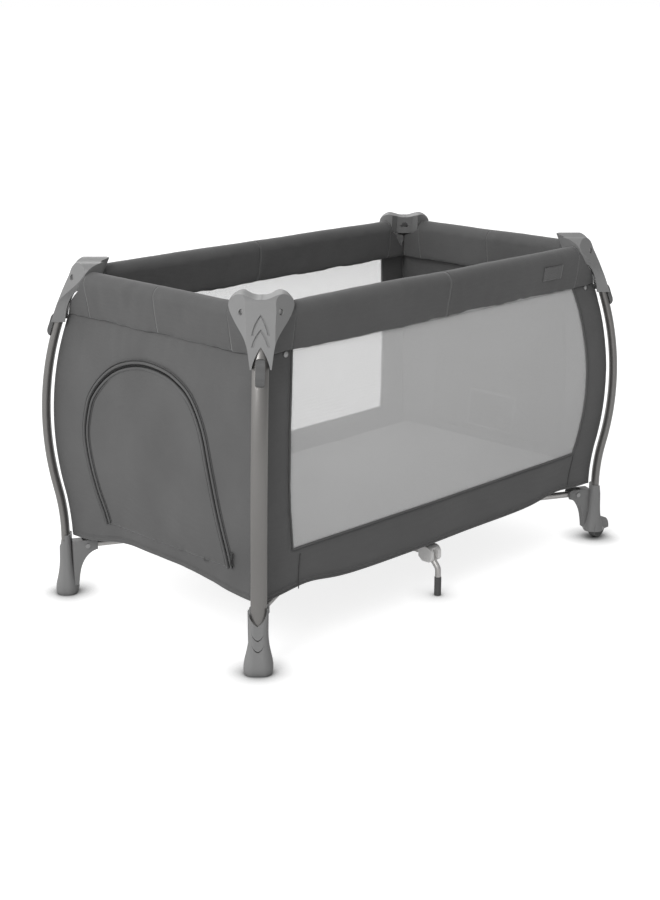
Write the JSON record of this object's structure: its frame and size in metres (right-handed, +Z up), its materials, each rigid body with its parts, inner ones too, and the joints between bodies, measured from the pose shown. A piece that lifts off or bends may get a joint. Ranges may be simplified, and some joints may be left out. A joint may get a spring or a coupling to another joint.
{
  "type": "travel play yard",
  "caption": "Folding travel play yard with bowed posts, moulded corners, mesh side windows, zipped end door and padded mattress.",
  "frame": {"origin": "centre of the footprint, on the floor", "axes": "+X along the long sides towards the wheeled end, +Y across towards the back, +Z up"},
  "size_m": [1.2622, 0.743, 0.79],
  "materials": {
    "frame_tube": "satin silver-champagne powder coat",
    "grey_plastic": "fine-grained moulding",
    "clip_plastic": "glossy",
    "rivet_steel": "satin",
    "wheel_rubber": "matt",
    "rail_steel": "satin grey powder coat",
    "latch_steel": "satin",
    "dark_plastic": "fine-grained moulding",
    "pale_plastic": "fine-grained moulding",
    "tip_rubber": "matt",
    "body_fabric": "woven polyester",
    "mesh_fabric": "knitted polyester mesh",
    "zip_metal": "semi-gloss",
    "floor_fabric": "woven polyester",
    "mattress_fabric": "woven polyester over padding"
  },
  "bodies": {
    "post_front_left": {"post_tube_front_left": "frame_tube", "corner_cap_front_left": "grey_plastic", "accessory_clip_front_left": "clip_plastic", "foot_front_left": "grey_plastic", "rivets_front_left": "rivet_steel", "front_side": "body_fabric", "left_side": "body_fabric", "zip_slider": "zip_metal"},
    "post_front_right": {"post_tube_front_right": "frame_tube", "corner_cap_front_right": "grey_plastic", "accessory_clip_front_right": "clip_plastic", "foot_front_right": "grey_plastic", "rivets_front_right": "rivet_steel", "right_side": "body_fabric"},
    "post_back_left": {"post_tube_back_left": "frame_tube", "corner_cap_back_left": "grey_plastic", "accessory_clip_back_left": "clip_plastic", "foot_back_left": "grey_plastic", "rivets_back_left": "rivet_steel", "back_side": "body_fabric"},
    "post_back_right": {"post_tube_back_right": "frame_tube", "corner_cap_back_right": "grey_plastic", "accessory_clip_back_right": "clip_plastic", "foot_back_right": "grey_plastic", "rivets_back_right": "rivet_steel"},
    "wheel_front_right": {"wheel_front_right": "wheel_rubber"},
    "wheel_back_right": {"wheel_back_right": "wheel_rubber"},
    "arm_front_left": {"base_arm_front_left": "rail_steel"},
    "arm_front_right": {"base_arm_front_right": "rail_steel"},
    "arm_back_left": {"base_arm_back_left": "rail_steel"},
    "arm_back_right": {"base_arm_back_right": "rail_steel"},
    "hub": {"base_hub": "dark_plastic", "hub_pins": "rivet_steel", "floor_sheet": "floor_fabric"},
    "beam_front": {"mid_beam_front": "rail_steel", "mid_knuckle_front": "pale_plastic"},
    "leg_front": {"mid_leg_front": "rail_steel", "mid_leg_tip_front": "tip_rubber"},
    "beam_back": {"mid_beam_back": "rail_steel", "mid_knuckle_back": "pale_plastic"},
    "leg_back": {"mid_leg_back": "rail_steel", "mid_leg_tip_back": "tip_rubber"},
    "rail_front_left": {"rail_front_left_half": "rail_steel"},
    "rail_front_right": {"rail_front_right_half": "rail_steel"},
    "latch_front": {"rail_latch_front": "latch_steel"},
    "button_front": {"latch_button_front": "dark_plastic"},
    "rail_back_left": {"rail_back_left_half": "rail_steel"},
    "rail_back_right": {"rail_back_right_half": "rail_steel"},
    "latch_back": {"rail_latch_back": "latch_steel"},
    "button_back": {"latch_button_back": "dark_plastic"},
    "rail_left_front": {"rail_left_front_half": "rail_steel"},
    "rail_left_back": {"rail_left_back_half": "rail_steel"},
    "latch_left": {"rail_latch_left": "latch_steel"},
    "button_left": {"latch_button_left": "dark_plastic"},
    "rail_right_front": {"rail_right_front_half": "rail_steel"},
    "rail_right_back": {"rail_right_back_half": "rail_steel"},
    "latch_right": {"rail_latch_right": "latch_steel"},
    "button_right": {"latch_button_right": "dark_plastic"},
    "door": {"door_flap": "body_fabric"},
    "mattress": {"mattress": "mattress_fabric"}
  },
  "joints": [
    {"name": "fold", "type": "hinge", "parent": "post_front_left", "child": "arm_front_left", "pos_m": [-0.5601, -0.2971, 0.118], "axis": [0.4514, -0.8923, 0], "range_deg": [0, 84], "deforming": ["front_side", "back_side", "left_side", "right_side", "door_flap", "zip_slider", "floor_sheet", "mattress"]},
    {"name": "hub_level", "type": "hinge", "parent": "arm_front_left", "child": "hub", "pos_m": [-0.0594, -0.0438, 0.118], "axis": [0.4514, -0.8923, 0], "range_deg": [-84, 0]},
    {"name": "arm_front_right_swing", "type": "hinge", "parent": "hub", "child": "arm_front_right", "pos_m": [0.0594, -0.0438, 0.118], "axis": [0.4514, 0.8923, 0], "range_deg": [0, 84]},
    {"name": "post_front_right_upright", "type": "hinge", "parent": "arm_front_right", "child": "post_front_right", "pos_m": [0.5601, -0.2971, 0.118], "axis": [0.4514, 0.8923, 0], "range_deg": [-84, 0]},
    {"name": "arm_back_left_swing", "type": "hinge", "parent": "hub", "child": "arm_back_left", "pos_m": [-0.0594, 0.0438, 0.118], "axis": [-0.4514, -0.8923, 0], "range_deg": [0, 84]},
    {"name": "post_back_left_upright", "type": "hinge", "parent": "arm_back_left", "child": "post_back_left", "pos_m": [-0.5601, 0.2971, 0.118], "axis": [-0.4514, -0.8923, 0], "range_deg": [-84, 0]},
    {"name": "arm_back_right_swing", "type": "hinge", "parent": "hub", "child": "arm_back_right", "pos_m": [0.0594, 0.0438, 0.118], "axis": [-0.4514, 0.8923, 0], "range_deg": [0, 84]},
    {"name": "post_back_right_upright", "type": "hinge", "parent": "arm_back_right", "child": "post_back_right", "pos_m": [0.5601, 0.2971, 0.118], "axis": [-0.4514, 0.8923, 0], "range_deg": [-84, 0]},
    {"name": "rail_front_left_swing", "type": "hinge", "parent": "post_front_left", "child": "rail_front_left", "pos_m": [-0.5247, -0.3093, 0.757], "axis": [0, 1, 0], "range_deg": [0, 84]},
    {"name": "latch_front_level", "type": "hinge", "parent": "rail_front_left", "child": "latch_front", "pos_m": [-0.024, -0.3093, 0.757], "axis": [0, 1, 0], "range_deg": [-84, 0]},
    {"name": "rail_front_right_swing", "type": "hinge", "parent": "latch_front", "child": "rail_front_right", "pos_m": [0.024, -0.3093, 0.757], "axis": [0, 1, 0], "range_deg": [-84, 0]},
    {"name": "rail_back_left_swing", "type": "hinge", "parent": "post_back_left", "child": "rail_back_left", "pos_m": [-0.5247, 0.3093, 0.757], "axis": [0, 1, 0], "range_deg": [0, 84]},
    {"name": "latch_back_level", "type": "hinge", "parent": "rail_back_left", "child": "latch_back", "pos_m": [-0.024, 0.3093, 0.757], "axis": [0, 1, 0], "range_deg": [-84, 0]},
    {"name": "rail_back_right_swing", "type": "hinge", "parent": "latch_back", "child": "rail_back_right", "pos_m": [0.024, 0.3093, 0.757], "axis": [0, 1, 0], "range_deg": [-84, 0]},
    {"name": "rail_left_front_swing", "type": "hinge", "parent": "post_front_left", "child": "rail_left_front", "pos_m": [-0.5567, -0.2773, 0.757], "axis": [-1, 0, 0], "range_deg": [0, 84]},
    {"name": "latch_left_level", "type": "hinge", "parent": "rail_left_front", "child": "latch_left", "pos_m": [-0.5567, -0.024, 0.757], "axis": [-1, 0, 0], "range_deg": [-84, 0]},
    {"name": "rail_left_back_swing", "type": "hinge", "parent": "latch_left", "child": "rail_left_back", "pos_m": [-0.5567, 0.024, 0.757], "axis": [-1, 0, 0], "range_deg": [-84, 0]},
    {"name": "rail_right_front_swing", "type": "hinge", "parent": "post_front_right", "child": "rail_right_front", "pos_m": [0.5567, -0.2773, 0.757], "axis": [-1, 0, 0], "range_deg": [0, 84]},
    {"name": "latch_right_level", "type": "hinge", "parent": "rail_right_front", "child": "latch_right", "pos_m": [0.5567, -0.024, 0.757], "axis": [-1, 0, 0], "range_deg": [-84, 0]},
    {"name": "rail_right_back_swing", "type": "hinge", "parent": "latch_right", "child": "rail_right_back", "pos_m": [0.5567, 0.024, 0.757], "axis": [-1, 0, 0], "range_deg": [-84, 0]},
    {"name": "beam_front_swing", "type": "hinge", "parent": "hub", "child": "beam_front", "pos_m": [0, -0.046, 0.098], "axis": [1, 0, 0], "range_deg": [0, 94.92]},
    {"name": "leg_front_tuck", "type": "hinge", "parent": "beam_front", "child": "leg_front", "pos_m": [0, -0.288, 0.092], "axis": [1, 0, 0], "range_deg": [-79.8, 0]},
    {"name": "beam_back_swing", "type": "hinge", "parent": "hub", "child": "beam_back", "pos_m": [0, 0.046, 0.098], "axis": [-1, 0, 0], "range_deg": [0, 94.92]},
    {"name": "leg_back_tuck", "type": "hinge", "parent": "beam_back", "child": "leg_back", "pos_m": [0, 0.288, 0.092], "axis": [-1, 0, 0], "range_deg": [-79.8, 0]},
    {"name": "mattress_lift", "type": "slide", "parent": "hub", "child": "mattress", "axis": [0, 0, 1], "range_m": [0, 0.08846]},
    {"name": "wheel_front_right_spin", "type": "hinge", "parent": "post_front_right", "child": "wheel_front_right", "pos_m": [0.604, -0.336, 0.025], "axis": [0, 1, 0], "continuous": true},
    {"name": "wheel_back_right_spin", "type": "hinge", "parent": "post_back_right", "child": "wheel_back_right", "pos_m": [0.604, 0.336, 0.025], "axis": [0, 1, 0], "continuous": true},
    {"name": "button_front_press", "type": "slide", "parent": "latch_front", "child": "button_front", "axis": [0, 0, 1], "range_m": [0, 0.003], "stiffness_N_per_m": 300},
    {"name": "button_back_press", "type": "slide", "parent": "latch_back", "child": "button_back", "axis": [0, 0, 1], "range_m": [0, 0.003], "stiffness_N_per_m": 300},
    {"name": "button_left_press", "type": "slide", "parent": "latch_left", "child": "button_left", "axis": [0, 0, 1], "range_m": [0, 0.003], "stiffness_N_per_m": 300},
    {"name": "button_right_press", "type": "slide", "parent": "latch_right", "child": "button_right", "axis": [0, 0, 1], "range_m": [0, 0.003], "stiffness_N_per_m": 300},
    {"name": "door_open", "type": "hinge", "parent": "post_front_left", "child": "door", "pos_m": [-0.586, 0, 0.205], "axis": [0, -1, 0], "range_deg": [0, 110]}
  ],
  "couplings": [
    {"joint": "hub_level", "follows": "fold", "ratio": -1},
    {"joint": "arm_front_right_swing", "follows": "fold", "ratio": 1},
    {"joint": "post_front_right_upright", "follows": "fold", "ratio": -1},
    {"joint": "arm_back_left_swing", "follows": "fold", "ratio": 1},
    {"joint": "post_back_left_upright", "follows": "fold", "ratio": -1},
    {"joint": "arm_back_right_swing", "follows": "fold", "ratio": 1},
    {"joint": "post_back_right_upright", "follows": "fold", "ratio": -1},
    {"joint": "rail_front_left_swing", "follows": "fold", "ratio": 1},
    {"joint": "latch_front_level", "follows": "fold", "ratio": -1},
    {"joint": "rail_front_right_swing", "follows": "fold", "ratio": -1},
    {"joint": "rail_back_left_swing", "follows": "fold", "ratio": 1},
    {"joint": "latch_back_level", "follows": "fold", "ratio": -1},
    {"joint": "rail_back_right_swing", "follows": "fold", "ratio": -1},
    {"joint": "rail_left_front_swing", "follows": "fold", "ratio": 1},
    {"joint": "latch_left_level", "follows": "fold", "ratio": -1},
    {"joint": "rail_left_back_swing", "follows": "fold", "ratio": -1},
    {"joint": "rail_right_front_swing", "follows": "fold", "ratio": 1},
    {"joint": "latch_right_level", "follows": "fold", "ratio": -1},
    {"joint": "rail_right_back_swing", "follows": "fold", "ratio": -1},
    {"joint": "beam_front_swing", "follows": "fold", "ratio": 1.13},
    {"joint": "leg_front_tuck", "follows": "fold", "ratio": -0.95},
    {"joint": "beam_back_swing", "follows": "fold", "ratio": 1.13},
    {"joint": "leg_back_tuck", "follows": "fold", "ratio": -0.95},
    {"joint": "mattress_lift", "follows": "fold", "m_per_rad": 0.06}
  ]
}
